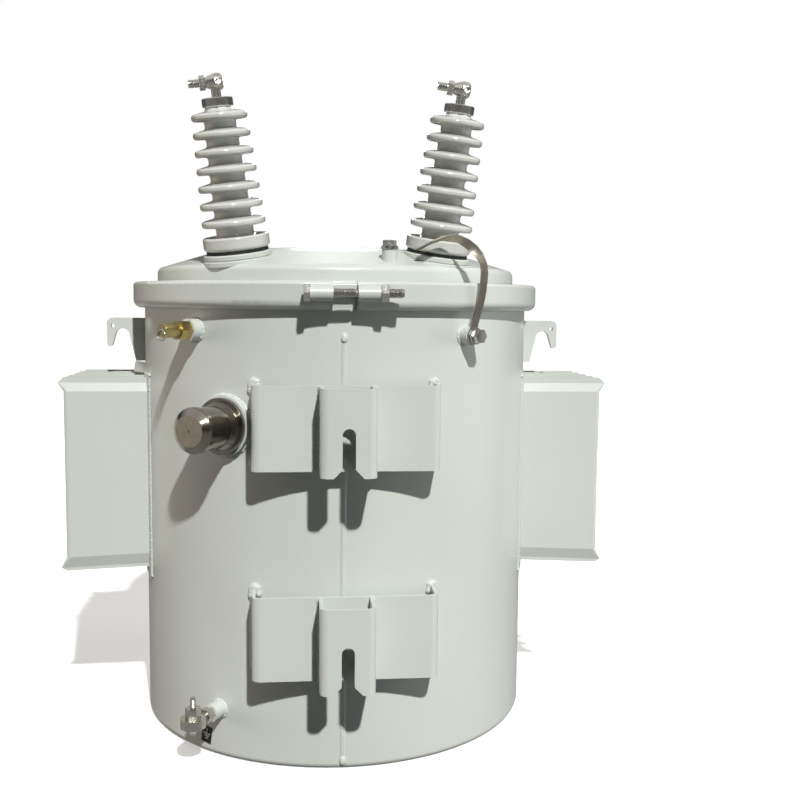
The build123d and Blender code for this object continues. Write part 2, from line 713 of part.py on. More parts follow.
def main():
    save(tank_shell(), "tank_shell")
    save(tank_base(), "tank_base")
    save(cover(), "cover")
    save(clamp_band(), "clamp_band")
    save(band_bolt(), "band_bolt")
    save(band_nut(), "band_nut")
    for name, z in (("upper", SLOT_Z), ("lower", SLOT_Z - SLOT_PITCH)):
        save(bracket_plate(z), name + "_bracket_plate")
        save(bracket_channel(z), name + "_bracket_channel")
    for name, side in (("left", -1), ("right", 1)):
        save(band_lug(side), "band_lug_" + name)
        save(lifting_hook(side), "lifting_hook_" + name)
        save(radiator(side), "radiator_" + name)
        save(hv_seat(side), "hv_seat_" + name)
        save(hv_gasket(side), "hv_gasket_" + name)
        save(hv_bushing(side), "hv_bushing_" + name)
        save(hv_cap(side), "hv_cap_" + name)
        save(hv_terminal(side), "hv_terminal_" + name)
    save(side_tab(), "side_tab")
    save(cover_boss(), "cover_boss")
    save(cover_bolt(), "cover_bolt")
    save(strap_boss(), "strap_boss")
    save(strap_bolt(), "strap_bolt")
    save(ground_strap(), "ground_strap")
    save(relief_boss(), "relief_boss")
    save(relief_valve(), "relief_valve")
    save(relief_ring(), "relief_ring")
    save(tap_boss(), "tap_boss")
    save(tap_ring(), "tap_ring")
    save(tap_cap(), "tap_cap")
    save(ground_boss(), "ground_boss")
    save(ground_clamp(), "ground_clamp")
    save(ground_nut(), "ground_nut")
    for i, turn in enumerate(LV_TURNS):
        save(lv_bushing(turn), "lv_bushing_" + str(i + 1))
        save(lv_terminal(turn), "lv_terminal_" + str(i + 1))


main()
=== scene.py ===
import json
import math

import bmesh
import bpy
from bpy.props import FloatProperty, FloatVectorProperty, IntProperty, PointerProperty
from mathutils import Matrix, Vector


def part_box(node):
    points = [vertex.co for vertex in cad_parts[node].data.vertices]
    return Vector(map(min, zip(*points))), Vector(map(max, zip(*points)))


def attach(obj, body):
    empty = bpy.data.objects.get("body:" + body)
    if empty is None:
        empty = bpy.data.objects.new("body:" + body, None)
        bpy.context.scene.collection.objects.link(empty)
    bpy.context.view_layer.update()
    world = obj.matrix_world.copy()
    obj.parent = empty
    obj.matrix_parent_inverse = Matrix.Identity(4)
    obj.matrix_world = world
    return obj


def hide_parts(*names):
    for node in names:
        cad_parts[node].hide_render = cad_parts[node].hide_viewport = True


bl_info = {
    "name": "Pole Mounted Transformer Dresser",
    "version": (1, 0, 0),
    "blender": (4, 5, 0),
    "location": "3D View > Sidebar > Transformer",
    "description": "Paints a pole mounted transformer, lays its welds and threads, and sets up its studio",
    "category": "Object",
}

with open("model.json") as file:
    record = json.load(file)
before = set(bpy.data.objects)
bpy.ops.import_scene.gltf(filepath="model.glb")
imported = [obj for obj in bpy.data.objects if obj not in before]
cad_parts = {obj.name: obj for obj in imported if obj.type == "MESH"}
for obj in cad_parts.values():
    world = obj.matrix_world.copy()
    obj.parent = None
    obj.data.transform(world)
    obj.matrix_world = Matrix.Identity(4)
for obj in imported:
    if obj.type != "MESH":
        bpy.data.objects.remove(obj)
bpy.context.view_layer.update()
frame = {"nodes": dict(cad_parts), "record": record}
NODES = frame["nodes"]

ACROSS = Vector((1, 0, 0))
UPWARD = Vector((0, 0, 1))

# Sizes and places that the solids already have, in metres, and turns in degrees
TANK_R = 0.304
SLOT_Z = 0.4804
SLOT_PITCH = 0.28575
SLOTS = (SLOT_Z, SLOT_Z - SLOT_PITCH)
BRACKET_UP, BRACKET_DOWN = 0.0592, 0.0557
PLATE_HALF, PLATE_Y = 0.1267, -0.3316
CHANNEL_HALF = 0.0368
TAP_TURN, TAP_Z, TAP_BOSS_R = 32.7, 0.478, 0.0424
RELIEF_TURN, RELIEF_Z, RELIEF_BOSS_R = 43.0, 0.6085, 0.016
STRAP_TURN, STRAP_Z, STRAP_BOSS_R = -33.9, 0.604, 0.013
STRAP_FACE = 0.0176
GROUND_TURN, GROUND_Z, GROUND_BOSS_R = 35.3, 0.071, 0.0125
GROUND_AT = 0.056
ROD_MID_X, ROD_Y, ROD_Z = -0.0026, -0.335, 0.661
ROD_R = 0.0066
LUG_NEAR, LUG_FAR, ROD_END = 0.0165, 0.0463, 0.0773
PAN_HALF, PAN_LOW, PAN_TOP = 0.1, 0.226, 0.536
HOOK_HALF = 0.004
HV_LEAN = 0.125

# Sizes of what is added here
SEAM_TURN, SEAM_LOW, SEAM_TOP = 0.5, 0.012, 0.600
BOLT_ACROSS, BOLT_HEAD, NUT_H = 0.0225, 0.0085, 0.0105
NUT_LAP = 0.0005
HEX_BEVEL = 0.0009
STRAP_HEAD_ACROSS, STRAP_HEAD_H = 0.0185, 0.0095
STUD_R, STUD_LEN = 0.0052, 0.015
GROUND_STUD_R, GROUND_STUD_LEN, GROUND_STUD_DROP = 0.0034, 0.014, 0.0145
LABEL_TURN, LABEL_Z = 39.9, 0.0275
LABEL_T, INK_T = 0.0003, 0.0001
SAME_PLACE = 1e-6
END_FACE = 0.0002


# Places

def polar(turn, radius, z=0.0):
    """A point at a turn from the pole side towards the left, in degrees."""
    a = math.radians(turn)
    return Vector((-radius * math.sin(a), -radius * math.cos(a), z))


def wall_point(turn, across, z, stand=0.0):
    """A point on the tank wall, a distance along the wall from a turn."""
    return polar(turn - math.degrees(across / TANK_R), TANK_R + stand, z)


def wall_depth(across):
    """How far the tank wall lies from its middle plane, a distance to the side."""
    return math.sqrt(TANK_R ** 2 - across ** 2)


def frame_at(place, along, up):
    """A matrix whose X runs along and whose Z points up, at a place."""
    z = up.normalized()
    x = (along - z * along.dot(z)).normalized()
    turn = Matrix((x, z.cross(x), z)).transposed()
    return Matrix.Translation(place) @ turn.to_4x4()


# Objects

def deselect():
    if bpy.context.object and bpy.context.object.mode != "OBJECT":
        bpy.ops.object.mode_set(mode="OBJECT")
    bpy.ops.object.select_all(action="DESELECT")


def pick(*objects):
    deselect()
    for one in objects:
        one.select_set(True)
    bpy.context.view_layer.objects.active = objects[0]


def join(*objects):
    pick(*objects)
    if len(objects) > 1:
        bpy.ops.object.join()
    return objects[0]


def applied():
    """The active object, with its place and turn put into its mesh."""
    bpy.ops.object.transform_apply(location=True, rotation=True, scale=True)
    return bpy.context.object


def settle(piece, matrix):
    """Puts the place into the mesh and leaves the object at the origin."""
    piece.data.transform(matrix)
    piece.matrix_world = Matrix.Identity(4)


def finish_piece(piece, name, material, angle=40.0):
    pick(piece)
    applied()
    bpy.ops.object.shade_smooth_by_angle(angle=math.radians(angle))
    piece.name = name
    piece.data.name = name
    piece.data.materials.clear()
    piece.data.materials.append(bpy.data.materials[material])
    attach(piece, "root")


def copies(piece, matrices):
    """Copies of a piece, each with its own mesh, joined into one."""
    made = []
    for matrix in matrices:
        one = piece.copy()
        one.data = piece.data.copy()
        bpy.context.collection.objects.link(one)
        settle(one, matrix)
        made.append(one)
    bpy.data.objects.remove(piece)
    return join(*made)


# Shader nodes

class Wire:
    """A node's output. Arithmetic on it adds Math nodes."""

    def __init__(self, graph, socket):
        self.graph = graph
        self.socket = socket

    def maths(self, operation, first, second):
        return self.graph.node("ShaderNodeMath", {"operation": operation}, {0: first, 1: second})

    def __add__(self, other):
        return self.maths("ADD", self, other)

    def __radd__(self, other):
        return self.maths("ADD", other, self)

    def __rsub__(self, other):
        return self.maths("SUBTRACT", other, self)

    def __mul__(self, other):
        return self.maths("MULTIPLY", self, other)

    def __pow__(self, other):
        return self.maths("POWER", self, other)


class Nodes:
    """A node tree, and the node that the others feed."""

    def __init__(self, tree, fed):
        self.tree = tree
        self.fed = tree.nodes[fed]

    def node(self, kind, settings=None, sockets=None, output=0):
        """Any node: its settings come first, then the values or links of its sockets."""
        made = self.tree.nodes.new(kind)
        for key, value in (settings or {}).items():
            if key == "stops":
                self.set_stops(made.color_ramp, value)
            else:
                setattr(made, key, value)
        for key, value in (sockets or {}).items():
            if isinstance(value, Wire):
                self.tree.links.new(value.socket, made.inputs[key])
            else:
                made.inputs[key].default_value = value
        return Wire(self, made.outputs[output])

    @staticmethod
    def set_stops(ramp, stops):
        while len(ramp.elements) < len(stops):
            ramp.elements.new(0.5)
        for element, (position, value) in zip(ramp.elements, stops):
            element.position = position
            element.color = (value, value, value, 1)

    def parts(self, place, axis):
        return self.node("ShaderNodeSeparateXYZ", None, {0: place}, output=axis)

    def mix(self, factor, first, second, blend="MIX"):
        return self.node("ShaderNodeMix", {"data_type": "RGBA", "blend_type": blend},
                         {0: factor, 6: first, 7: second}, output=2)

    def feed(self, **sockets):
        for key, wire in sockets.items():
            self.tree.links.new(wire.socket, self.fed.inputs[key.replace("_", " ")])


class Graph(Nodes):
    """A material and its nodes."""

    def __init__(self, name, **constants):
        self.material = bpy.data.materials.new(name)
        self.material.use_nodes = True
        super().__init__(self.material.node_tree, "Principled BSDF")
        for key, value in constants.items():
            self.fed.inputs[key.replace("_", " ")].default_value = value
        self.place = self.node("ShaderNodeTexCoord", output="Object")

    def noise(self, scale, detail=3.0, rough=0.55, place=None):
        return self.node("ShaderNodeTexNoise", None, {
            "Vector": place or self.place, "Scale": scale, "Detail": detail, "Roughness": rough})

    def step(self, value, low, high, span=1.0):
        """None up to a low mark and full from a high one, on a ramp that covers a span."""
        if span != 1.0:
            value = value * (1 / span)
        stops = ((low / span, 0.0), (high / span, 1.0))
        return self.node("ShaderNodeValToRGB", {"stops": stops}, {0: value})

    def moved(self, place, turn=(0, 0, 0), scale=(1, 1, 1)):
        """The place measured from a point of the object, turned and stretched."""
        return self.node("ShaderNodeMapping", {"vector_type": "TEXTURE"},
                         {0: self.place, 1: place, 2: turn, 3: scale})

    def bump(self, height, distance):
        return self.node("ShaderNodeBump", None, {"Height": height, "Distance": distance, "Strength": 1.0})

    def surface(self, **sockets):
        """Feeds the shader and gives the material."""
        self.feed(**sockets)
        return self.material


def rgba(colour, factor=1.0):
    return (*[c * factor for c in colour], 1)


# Finishes

class FinishSettings(bpy.types.PropertyGroup):
    paint: FloatVectorProperty(
        name="Paint", description="Colour of the tank's enamel", subtype="COLOR",
        default=(0.575, 0.612, 0.57))
    orange_peel: FloatProperty(
        name="Orange peel", description="Depth of the enamel's ripple", default=0.00012, unit="LENGTH")
    glaze: FloatVectorProperty(
        name="Glaze", description="Colour of the porcelain's glaze", subtype="COLOR",
        default=(0.60, 0.615, 0.58))
    tin: FloatVectorProperty(
        name="Tin plate", description="Colour of the plated terminals", subtype="COLOR",
        default=(0.66, 0.64, 0.58))
    zinc: FloatVectorProperty(
        name="Zinc plate", description="Colour of the plated bolts", subtype="COLOR",
        default=(0.60, 0.585, 0.55))
    brass: FloatVectorProperty(
        name="Brass", description="Colour of the relief valve", subtype="COLOR", default=(0.62, 0.50, 0.22))
    wire: FloatVectorProperty(
        name="Ring wire", description="Colour of the pull ring", subtype="COLOR", default=(0.7, 0.69, 0.66))
    bronze: FloatVectorProperty(
        name="Tap changer metal", description="Colour of the tap changer's housing", subtype="COLOR",
        default=(0.33, 0.305, 0.255))


# The brown stain on the tap changer's flat face, the near-black painted shade of a pit in its middle, and
# the span of the ramps that find that face
STAIN_LIGHT, STAIN_DARK = (0.34, 0.30, 0.235), (0.17, 0.14, 0.105)
PIT_SHADE = (0.03, 0.025, 0.02)
DEPTH_SPAN, RADIUS_SPAN = 0.2, 0.05
FACE_START, FACE_FULL = 0.0776, 0.0792
BEVEL_START, BEVEL_FULL = 0.02125, 0.022
PIT_FULL, PIT_EDGE = 0.001, 0.00225

# Two ends of each mottled tone
RUBBER_TONES = (0.006, 0.006, 0.006), (0.02, 0.02, 0.019)
BRAID_TONES = (0.34, 0.30, 0.24), (0.55, 0.50, 0.42)
BRAID_STREAK = (0.2, 0.17, 0.13)
BLACK_TONES = (0.004, 0.004, 0.004), (0.014, 0.014, 0.013)
WHITE_TONES = (0.66, 0.67, 0.64), (0.8, 0.8, 0.78)


def mottled(g, factor, tones):
    return g.mix(factor, *[rgba(tone) for tone in tones])


def enamel(look):
    """Light grey enamel with a faint ripple, cloudy tone and fine dust."""
    g = Graph("grey_enamel", Roughness=0.32, IOR=1.5, Coat_Weight=0.35, Coat_Roughness=0.12)
    cloud = g.noise(5.0, detail=4.0)
    fine = g.noise(160.0, detail=3.0)
    specks = g.step(g.noise(620.0, detail=1.0), 0.70, 0.76)
    tone = g.mix(g.step(cloud, 0.3, 0.7), rgba(look.paint, 0.965), rgba(look.paint, 1.02))
    tone = g.mix(fine * 0.10, tone, rgba(look.paint, 0.86))
    tone = g.mix(specks * 0.16, tone, rgba(look.paint, 0.62))
    wall = g.noise(9.0, detail=1.0)
    peel = g.noise(420.0, detail=2.0)
    normal = g.bump(peel * look.orange_peel + wall * (look.orange_peel * 4), 1.0)
    return g.surface(Base_Color=tone, Roughness=0.27 + fine * 0.12, Normal=normal)


def weld_paint(look):
    """The same enamel where it lies thicker and rougher over the welds."""
    g = Graph("weld_enamel", IOR=1.5, Coat_Weight=0.4, Coat_Roughness=0.10)
    fine = g.noise(300.0, detail=4.0, rough=0.65)
    pits = g.step(g.noise(900.0, detail=2.0), 0.62, 0.74)
    tone = g.mix(fine * 0.3, rgba(look.paint, 1.03), rgba(look.paint, 0.84))
    tone = g.mix(pits * 0.35, tone, rgba(look.paint, 0.5))
    return g.surface(Base_Color=tone, Roughness=0.22 + fine * 0.2, Normal=g.bump(fine, 0.0006))


def porcelain(look):
    """Grey glaze over porcelain: even, very glossy, with a faint cloud and pinholes."""
    g = Graph("grey_glaze", IOR=1.54, Coat_Weight=0.6, Coat_Roughness=0.03)
    cloud = g.noise(28.0, detail=4.0)
    pins = g.step(g.noise(760.0, detail=1.0), 0.71, 0.77)
    tone = g.mix(cloud, rgba(look.glaze, 0.93), rgba(look.glaze, 1.06))
    tone = g.mix(pins * 0.4, tone, rgba(look.glaze, 0.45))
    wave = g.noise(70.0, detail=2.0)
    return g.surface(Base_Color=tone, Roughness=0.09 + cloud * 0.08, Normal=g.bump(wave, 0.0006))


def metal(name, colour, rough, scale=180.0, dull=0.7):
    """Plain plated metal: cloudy plating, fine scratches and small dull spots."""
    g = Graph(name, Metallic=1.0)
    cloud = g.noise(60.0, detail=5.0, rough=0.6)
    streak = g.noise(scale, detail=3.0, rough=0.6, place=g.moved((0, 0, 0), scale=(1, 1, 0.12)))
    spots = g.step(g.noise(330.0, detail=2.0), 0.6, 0.74)
    tone = g.mix(cloud, rgba(colour, dull), rgba(colour, 1.12))
    tone = g.mix(spots * 0.35, tone, rgba(colour, 0.45))
    return g.surface(Base_Color=tone, Roughness=rough + cloud * 0.14 + spots * 0.15,
                     Normal=g.bump(streak, 0.00015))


def turned_metal(look):
    """Turned dark metal: fine rings round the housing's axis, dull and brown on its flat face, with the
    painted shade of a pit in its middle.
    """
    g = Graph("turned_bronze", Metallic=1.0)
    out = polar(TAP_TURN, 1.0)
    upright = (math.pi / 2, 0, math.atan2(out.x, -out.y))
    local = g.moved(polar(TAP_TURN, TANK_R, TAP_Z), turn=upright)
    x, y, depth = (g.parts(local, axis) for axis in range(3))
    radius = (x * x + y * y) ** 0.5
    section = g.node("ShaderNodeCombineXYZ", None, {0: depth, 1: radius})
    rings = g.noise(2600.0, detail=2.0, rough=0.7, place=section)
    cloud = g.noise(45.0, detail=5.0, rough=0.6)
    stain = g.noise(120.0, detail=4.0, rough=0.7)
    face = g.step(depth, FACE_START, FACE_FULL, DEPTH_SPAN)
    end = face * (1 - g.step(radius, BEVEL_START, BEVEL_FULL, RADIUS_SPAN))
    # A near-black spot painted in the middle of the flat face: the painted shade of a pit
    pit_shade = 1 - g.step(radius, PIT_FULL, PIT_EDGE, RADIUS_SPAN)
    tone = g.mix(cloud, rgba(look.bronze, 0.6), rgba(look.bronze, 1.25))
    tone = g.mix(rings * 0.25, tone, rgba(look.bronze, 0.5))
    brown = mottled(g, stain, (STAIN_LIGHT, STAIN_DARK))
    brown = g.mix(pit_shade * 0.8, brown, rgba(PIT_SHADE))
    tone = g.mix(end, tone, brown)
    rough = 0.08 + cloud * 0.07 + rings * 0.05 + end * 0.35
    return g.surface(Base_Color=tone, Roughness=rough, Metallic=1 - end * 0.7,
                     Normal=g.bump(rings * 0.4 + stain * 0.6, 0.00012))


def rubber():
    g = Graph("black_rubber")
    grain = g.noise(500.0, detail=4.0, rough=0.7)
    tone = mottled(g, grain, RUBBER_TONES)
    return g.surface(Base_Color=tone, Roughness=0.5 + grain * 0.2, Normal=g.bump(grain, 0.0003))


def strap_metal():
    """Tinned braid rolled flat, brown with handling, with long fine streaks."""
    g = Graph("flat_braid", Metallic=1.0)
    braid = g.node("ShaderNodeTexWave", {"bands_direction": "DIAGONAL"},
                   {"Vector": g.place, "Scale": 420.0, "Distortion": 1.5})
    cloud = g.noise(40.0, detail=5.0)
    streak = g.noise(900.0, detail=2.0, rough=0.6, place=g.moved((0, 0, 0), scale=(1, 1, 0.08)))
    tone = g.mix(streak * 0.4, mottled(g, cloud, BRAID_TONES), rgba(BRAID_STREAK))
    return g.surface(Base_Color=tone, Roughness=0.34 + cloud * 0.16,
                     Normal=g.bump(braid * 0.3 + streak, 0.0001))


def label_black():
    g = Graph("label_black", IOR=1.45)
    grain = g.noise(240.0)
    tone = mottled(g, grain, BLACK_TONES)
    return g.surface(Base_Color=tone, Roughness=0.35 + grain * 0.2, Normal=g.bump(grain, 0.0001))


def label_white():
    g = Graph("label_white", IOR=1.45)
    grain = g.noise(400.0)
    tone = mottled(g, grain, WHITE_TONES)
    return g.surface(Base_Color=tone, Roughness=0.4 + grain * 0.15, Normal=g.bump(grain, 0.00005))


class TRANSFORMER_OT_finishes(bpy.types.Operator):
    """Give every solid of the transformer its finish, and mix those of the pieces added later"""

    bl_idname = "transformer.finishes"
    bl_label = "Paint and plate the solids"

    def execute(self, context):
        look = context.scene.transformer_finish
        glaze = porcelain(look)
        by_slot = {
            "tank_paint": enamel(look),
            "porcelain": glaze,
            "lv_porcelain": glaze,
            "zinc_steel": metal("zinc_plate", look.zinc, 0.16),
            "tinned_metal": metal("tin_plate", look.tin, 0.16, 260.0, 0.8),
            "brass": metal("old_brass", look.brass, 0.24, 300.0, 0.6),
            "ring_steel": metal("ring_wire", look.wire, 0.15),
            "stainless": turned_metal(look),
            "gasket": rubber(),
            "strap_steel": strap_metal(),
        }
        weld_paint(look)
        label_black()
        label_white()
        for part in frame["record"]["subparts"]:
            node = NODES[part["node"]]
            node.data.materials.clear()
            node.data.materials.append(by_slot[part["material_slot"]])
        return {"FINISHED"}


# Welds

class WeldSettings(bpy.types.PropertyGroup):
    pitch: FloatProperty(
        name="Ripple pitch", description="From one ripple to the next", default=0.0036, unit="LENGTH")
    width: FloatProperty(
        name="Bead width", description="Width of a fillet bead", default=0.0064, unit="LENGTH")
    height: FloatProperty(
        name="Bead height", description="Height of a fillet bead", default=0.0030, unit="LENGTH")
    seam_width: FloatProperty(
        name="Seam width", description="Width of the tank's seam", default=0.0078, unit="LENGTH")
    seam_height: FloatProperty(
        name="Seam height", description="Height of the seam", default=0.0014, unit="LENGTH")
    mound: FloatProperty(
        name="Mound", description="Width of the mounds where a bead starts or ends", default=0.0098,
        unit="LENGTH")


# For each kind of weld, how much its ripples vary in size and how far they overlap
HAND_LAID, PAN_LAID, SEAM_LAID, MOUND_LAID = (0.18, 1.35), (0.12, 1.9), (0.05, 2.2), (0.1, 2.0)
SMALL = 0.8
RING_STEPS, PAN_STEPS = 36, 12
LEG_OUT, LEG_START, CHANNEL_INSET = 0.001, 0.003, 0.002
MOUND_PATH = ((-0.0015, -0.012), (-0.001, 0.0), (0.0025, 0.003), (0.007, 0.001), (0.009, -0.009))
BLOB_LEN = 0.001
MOUND_LEAN = 0.1
# Height and pitch of a mound at the seam's ends, as shares of its width
END_MOUND_H, END_MOUND_PITCH = 0.4, 0.5
# Height of a mound on a bracket's leg as a share of its width, and its pitch as a share of a bead's
LEG_MOUND_H, LEG_MOUND_PITCH = 0.55, 0.6
SLOW_BEAT, FAST_BEAT = 0.37, 2.4
RIPPLE_SEGMENTS, RIPPLE_RINGS = 10, 6
RIPPLE_CUT, RIPPLE_FRONT = -0.35, 0.3
RIPPLE_DRAW = (0.35, 0, -0.1)
WELD_ANGLE = 60.0


def ripple():
    """One ripple of a weld: a ball cut level below and drawn out ahead, about a unit each way."""
    deselect()
    bpy.ops.mesh.primitive_uv_sphere_add(segments=RIPPLE_SEGMENTS, ring_count=RIPPLE_RINGS, radius=1.0)
    bpy.ops.object.mode_set(mode="EDIT")
    bpy.ops.mesh.select_all(action="SELECT")
    bpy.ops.mesh.bisect(plane_co=(0, 0, RIPPLE_CUT), plane_no=(0, 0, 1), clear_inner=True, use_fill=True)
    mesh = bmesh.from_edit_mesh(bpy.context.object.data)
    for vert in mesh.verts:
        vert.select = vert.co.x > RIPPLE_FRONT
    mesh.select_flush_mode()
    bmesh.update_edit_mesh(bpy.context.object.data)
    bpy.ops.transform.translate(value=RIPPLE_DRAW)
    bpy.ops.object.mode_set(mode="OBJECT")
    return bpy.context.object


def bead(run, width, height, pitch, wander, overlap):
    """Matrices for the ripples along a run of (place, outward normal)."""
    made = []
    for (start, first), (end, last) in zip(run, run[1:]):
        count = max(1, round((end - start).length / pitch))
        for k in range(count):
            step = len(made)
            grow = 1 + wander * math.sin(step * FAST_BEAT) * math.cos(step * SLOW_BEAT)
            size = Matrix.Diagonal((pitch * overlap, width / 2 * grow, height * grow, 1))
            place = start.lerp(end, k / count)
            made.append(frame_at(place, end - start, first.lerp(last, k / count)) @ size)
    return made


def lay(name, runs, size, laid=HAND_LAID):
    """A weld: ripples of one width, height and pitch along each of its runs, joined."""
    matrices = [matrix for run in runs for matrix in bead(run, *size, *laid)]
    finish_piece(copies(ripple(), matrices), name, "weld_enamel", WELD_ANGLE)


def ring_run(turn, z, radius):
    """Round a boss, on the tank wall, leaning out between the wall and the boss."""
    run = []
    for i in range(RING_STEPS + 1):
        a = 2 * math.pi * i / RING_STEPS
        place = wall_point(turn, radius * math.cos(a), z + radius * math.sin(a))
        away = (place - polar(turn, TANK_R, z)).normalized()
        run.append((place, (polar(turn, 1.0) + away).normalized()))
    return run


def upright_run(place, low, high, normal):
    return [(Vector((place.x, place.y, z)), normal) for z in (low, high)]


def bracket_runs():
    """Down the outside of each bent leg, and down both sides of each channel."""
    runs = []
    for z in SLOTS:
        low, high = z - BRACKET_DOWN, z + BRACKET_UP
        for side in (-1, 1):
            x = side * PLATE_HALF
            y = -wall_depth(x)
            leg = Vector((x + side * LEG_OUT, y, 0))
            runs.append(upright_run(leg, low + LEG_START, high,
                                    Vector((x, y, 0)).normalized() + ACROSS * side))
            channel = Vector((side * CHANNEL_HALF, PLATE_Y, 0))
            runs.append(upright_run(channel, low + CHANNEL_INSET, high - CHANNEL_INSET,
                                    Vector((side, -1, 0))))
    return runs


def mound_runs():
    """Over the upper end of each bent leg, from its outside to its inside."""
    runs = []
    for z in SLOTS:
        for side in (-1, 1):
            row = []
            for inward, up in MOUND_PATH:
                x = side * (PLATE_HALF - inward)
                y = -wall_depth(x)
                row.append((Vector((x, y, z + BRACKET_UP + up)), Vector((x, y, MOUND_LEAN)).normalized()))
            runs.append(row)
    return runs


def pan_runs(side):
    """All round a radiator's base sheet: its two ends, then its lower and upper edges."""
    runs = []
    for end in (-1, 1):
        edge = Vector((side * wall_depth(PAN_HALF), end * PAN_HALF, 0))
        runs.append(upright_run(edge, PAN_LOW, PAN_TOP, edge.normalized() + Vector((0, end, 0))))
    for z, up in ((PAN_LOW, -1), (PAN_TOP, 1)):
        row = []
        for i in range(PAN_STEPS + 1):
            y = PAN_HALF * (2 * i / PAN_STEPS - 1)
            out = Vector((side * wall_depth(y), y, 0))
            row.append((out + UPWARD * z, out.normalized() + UPWARD * up))
        runs.append(row)
    return runs


def hook_runs(side, low, high):
    """Down both faces of a lifting hook."""
    x = side * wall_depth(HOOK_HALF)
    return [upright_run(Vector((x, face * HOOK_HALF, 0)), low, high, Vector((side, face, 0)))
            for face in (-1, 1)]


def blob(place, normal):
    """A very short run for one mound."""
    return [(place, normal), (place + UPWARD * BLOB_LEN, normal)]


class TRANSFORMER_OT_welds(bpy.types.Operator):
    """Lay the weld beads round bosses, brackets, hooks and radiators, and down the tank's seam"""

    bl_idname = "transformer.welds"
    bl_label = "Lay the welds"

    def execute(self, context):
        weld = context.scene.transformer_weld
        size = (weld.width, weld.height, weld.pitch)
        small = [measure * SMALL for measure in size]
        lay("boss_welds", [ring_run(TAP_TURN, TAP_Z, TAP_BOSS_R)], size)
        bosses = ((RELIEF_TURN, RELIEF_Z, RELIEF_BOSS_R), (STRAP_TURN, STRAP_Z, STRAP_BOSS_R),
                  (GROUND_TURN, GROUND_Z, GROUND_BOSS_R))
        lay("small_boss_welds", [ring_run(*boss) for boss in bosses], small)
        lay("bracket_welds", bracket_runs(), size)
        for name, side in (("left", -1), ("right", 1)):
            lay("radiator_welds_" + name, pan_runs(side), small, PAN_LAID)
            low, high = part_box("lifting_hook_" + name)
            lay("hook_welds_" + name, hook_runs(side, low.z, high.z), size)
        seam = polar(SEAM_TURN, TANK_R)
        out = seam.normalized()
        lay("tank_seam", [upright_run(seam, SEAM_LOW, SEAM_TOP, out)],
            (weld.seam_width, weld.seam_height, weld.pitch), SEAM_LAID)
        lay("seam_ends", [blob(seam + UPWARD * z, out) for z in (SEAM_LOW, SEAM_TOP)],
            (weld.mound, weld.mound * END_MOUND_H, weld.mound * END_MOUND_PITCH))
        lay("bracket_mounds", mound_runs(),
            (weld.mound, weld.mound * LEG_MOUND_H, weld.pitch * LEG_MOUND_PITCH), MOUND_LAID)
        return {"FINISHED"}


# Bolts and threads

class ThreadSettings(bpy.types.PropertyGroup):
    rod_pitch: FloatProperty(
        name="Band bolt pitch", description="Thread of the band bolt", default=0.0019, unit="LENGTH")
    stud_pitch: FloatProperty(
        name="Stud pitch", description="Thread of the terminal studs", default=0.0016, unit="LENGTH")
    sides: IntProperty(name="Steps", description="Steps in one turn of a thread", default=20, min=8)


# Shares of a thread's pitch: its wire, how deep the wire and the core lie, and the end bevel
WIRE, WIRE_SINK, CORE_SINK, END_BEVEL = 0.62, 0.6, 0.8, 0.5
FINE = 0.8
METAL_ANGLE = 30.0
WASHER_SIDES, WASHER_BEVEL = 40, 0.25
# Radius and thickness of the flat washer, the spring washer and the small washer under the strap's bolt
STRAP_WASHERS = ((0.0125, 0.0022), (0.0104, 0.0028), (0.0116, 0.0018))


def thread(radius, pitch, length, sides):
    """A thread from a three-cornered wire wound along Z with the Screw modifier."""
    deselect()
    bpy.ops.mesh.primitive_circle_add(vertices=3, radius=pitch * WIRE, fill_type="NOTHING",
                                      location=(radius, 0, 0), rotation=(math.pi / 2, 0, 0))
    piece = applied()
    wind = piece.modifiers.new("wind", "SCREW")
    wind.axis = "Z"
    wind.screw_offset = pitch
    wind.iterations = max(1, int(length / pitch) - 1)
    wind.steps = wind.render_steps = sides
    wind.use_normal_calculate = True
    bpy.ops.object.modifier_apply(modifier="wind")
    bpy.ops.object.mode_set(mode="EDIT")
    bpy.ops.mesh.select_all(action="SELECT")
    bpy.ops.mesh.remove_doubles(threshold=SAME_PLACE)
    bpy.ops.mesh.fill_holes(sides=3)
    bpy.ops.mesh.normals_make_consistent(inside=False)
    bpy.ops.object.mode_set(mode="OBJECT")
    return piece


def bevelled_cylinder(sides, radius, height, bevel, start=0.0):
    """A cylinder or prism up Z from a start, with both ends bevelled."""
    deselect()
    bpy.ops.mesh.primitive_cylinder_add(vertices=sides, radius=radius, depth=height,
                                        location=(0, 0, start + height / 2))
    piece = applied()
    bpy.ops.object.mode_set(mode="EDIT")
    bpy.ops.mesh.select_mode(type="EDGE")
    bpy.ops.mesh.select_all(action="DESELECT")
    mesh = bmesh.from_edit_mesh(piece.data)
    for edge in mesh.edges:
        first, second = edge.verts
        edge.select = abs(first.co.z - second.co.z) < SAME_PLACE
    bmesh.update_edit_mesh(piece.data)
    bpy.ops.mesh.bevel(offset=bevel, segments=2, affect="EDGES")
    bpy.ops.object.mode_set(mode="OBJECT")
    return piece


def threaded_bar(radius, pitch, length, sides):
    """A bar along Z from the origin with its thread wound on it."""
    winding = thread(radius - pitch * WIRE_SINK, pitch, length - pitch, sides)
    bar = bevelled_cylinder(sides, radius - pitch * CORE_SINK, length, pitch * END_BEVEL)
    settle(winding, Matrix.Translation((0, 0, pitch / 2)))
    return join(bar, winding)


def hexagon(across, height):
    """A six-sided head or nut along Z from the origin."""
    return bevelled_cylinder(6, across / math.sqrt(3), height, HEX_BEVEL)


